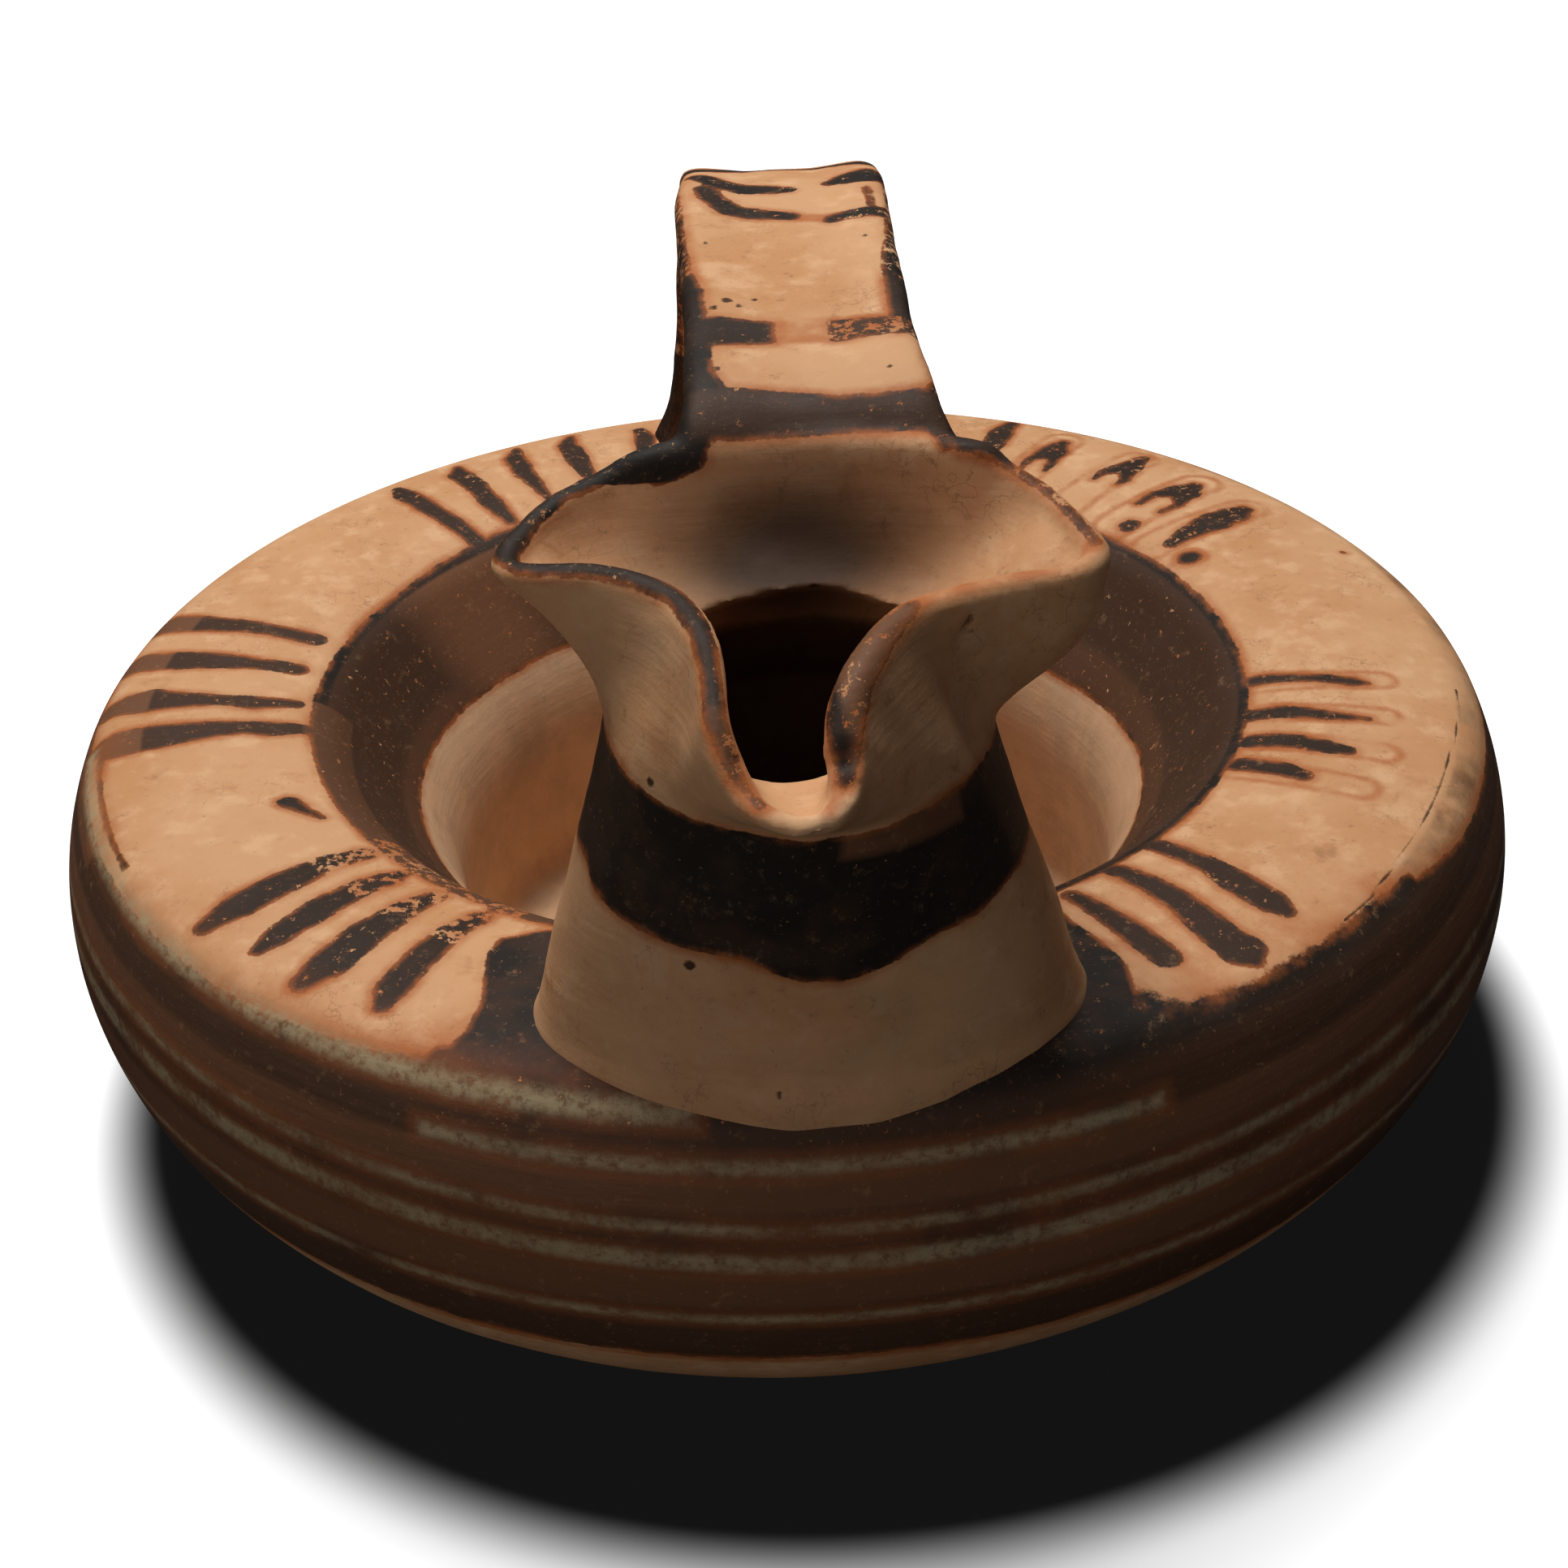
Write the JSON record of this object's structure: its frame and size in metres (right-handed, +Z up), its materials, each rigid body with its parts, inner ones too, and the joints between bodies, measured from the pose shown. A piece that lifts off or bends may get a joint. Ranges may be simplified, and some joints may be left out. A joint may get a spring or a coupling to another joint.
{
  "type": "ring askos",
  "caption": "Fired-clay ring askos: hollow ring body round a closed well, flared neck with a trefoil pouring mouth and a strap handle over the well.",
  "frame": {"origin": "centre of the flat underside", "axes": "+X to the right of a viewer who faces the spout, +Y from the spout towards the handle's rear root, +Z up out of the well"},
  "size_m": [0.15, 0.157, 0.0964],
  "materials": {
    "fired_clay": "unglazed buff clay, burnished, with bands and strokes of worn black slip"
  },
  "bodies": {
    "root": {"outer_bowl": "fired_clay", "well_floor": "fired_clay", "well_wall": "fired_clay", "shoulder_plate": "fired_clay", "shoulder_coil": "fired_clay", "neck_foot_coil": "fired_clay", "neck": "fired_clay", "trefoil_mouth": "fired_clay", "strap_handle": "fired_clay", "handle_front_root": "fired_clay", "handle_rear_root": "fired_clay"}
  },
  "joints": []
}
